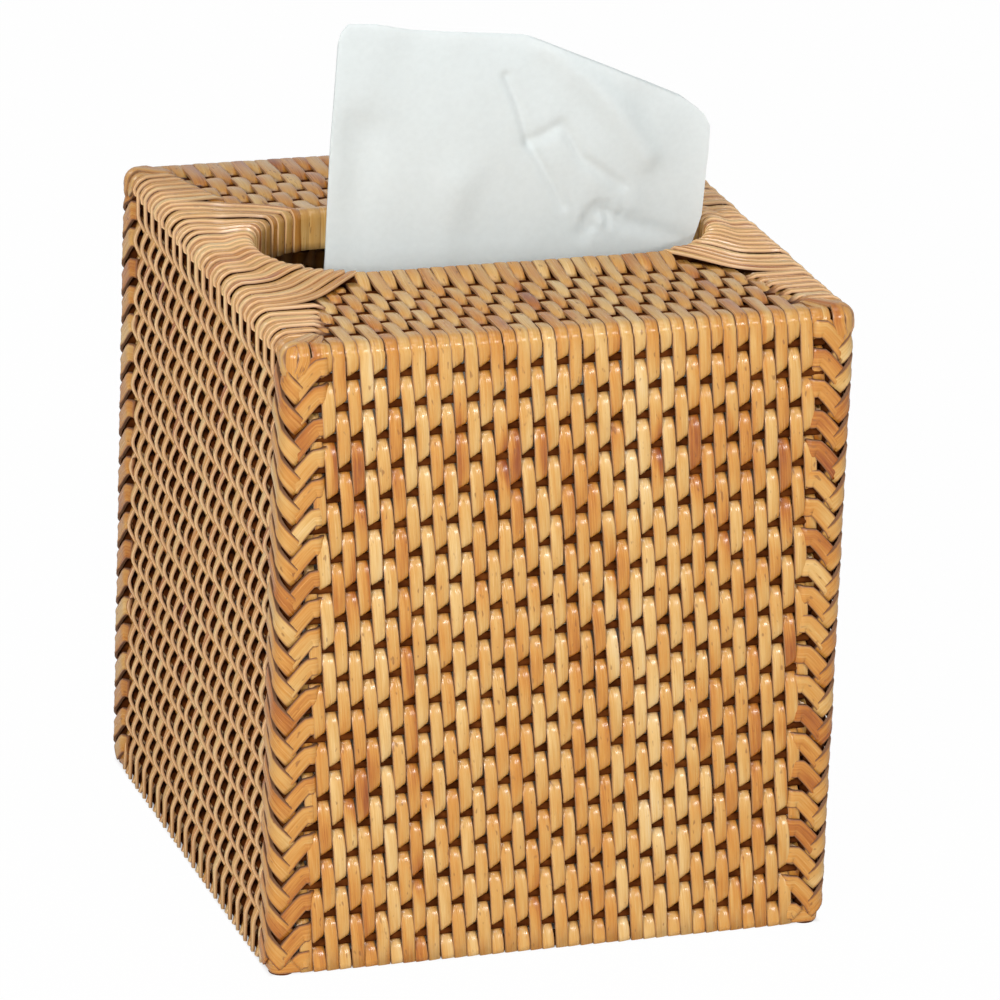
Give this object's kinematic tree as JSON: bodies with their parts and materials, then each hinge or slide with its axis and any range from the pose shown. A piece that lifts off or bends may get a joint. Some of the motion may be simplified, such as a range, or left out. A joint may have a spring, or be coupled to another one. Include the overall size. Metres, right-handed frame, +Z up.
{
  "type": "tissue box cover",
  "caption": "Square woven rattan cover that slips over a cube tissue carton, with a long wrapped mouth in its top and a tissue standing out of it.",
  "frame": {"origin": "on the table, under the middle of the cover's footprint", "axes": "+Z up; -Y is the front wall, along which the mouth is long; +X to the right seen from the front"},
  "size_m": [0.142, 0.144, 0.2155],
  "materials": {
    "rattan_strip": "split rattan strip, clear lacquer",
    "rattan_rod": "round rattan core, clear lacquer",
    "rattan_lacing": "split rattan strip, clear lacquer",
    "rattan_wrap": "split rattan strip, clear lacquer",
    "carton_board": "white clay-coated board, unprinted",
    "clear_film": "clear thin film",
    "tissue_paper": "soft white facial tissue",
    "tissue_stack": "loose stack of soft facial tissue"
  },
  "bodies": {
    "carton": {"carton_board": "carton_board", "slot_film": "clear_film", "tissue_stack": "tissue_stack"},
    "cover": {"front_left_post": "rattan_rod", "front_right_post": "rattan_rod", "back_left_post": "rattan_rod", "back_right_post": "rattan_rod", "base_rails": "rattan_rod", "top_edge_rails": "rattan_rod", "front_stakes": "rattan_rod", "back_stakes": "rattan_rod", "left_stakes": "rattan_rod", "right_stakes": "rattan_rod", "top_front_stakes": "rattan_rod", "top_back_stakes": "rattan_rod", "front_weavers": "rattan_strip", "back_weavers": "rattan_strip", "left_weavers": "rattan_strip", "right_weavers": "rattan_strip", "top_front_weavers": "rattan_strip", "top_back_weavers": "rattan_strip", "top_left_fan_strips": "rattan_strip", "top_right_fan_strips": "rattan_strip", "front_left_fill_strips": "rattan_strip", "front_right_fill_strips": "rattan_strip", "back_left_fill_strips": "rattan_strip", "back_right_fill_strips": "rattan_strip", "front_left_lacing": "rattan_lacing", "front_right_lacing": "rattan_lacing", "back_left_lacing": "rattan_lacing", "back_right_lacing": "rattan_lacing", "mouth_band": "rattan_rod", "mouth_front_wraps": "rattan_wrap", "mouth_back_wraps": "rattan_wrap", "mouth_left_wraps": "rattan_wrap", "mouth_right_wraps": "rattan_wrap"},
    "tissue": {"standing_tissue": "tissue_paper"}
  },
  "joints": [
    {"name": "cover_lift", "type": "slide", "parent": "carton", "child": "cover", "axis": [0, 0, 1], "range_m": [0, 0.24]},
    {"name": "tissue_pull", "type": "slide", "parent": "carton", "child": "tissue", "axis": [0, 0, 1], "range_m": [0, 0.075]}
  ]
}
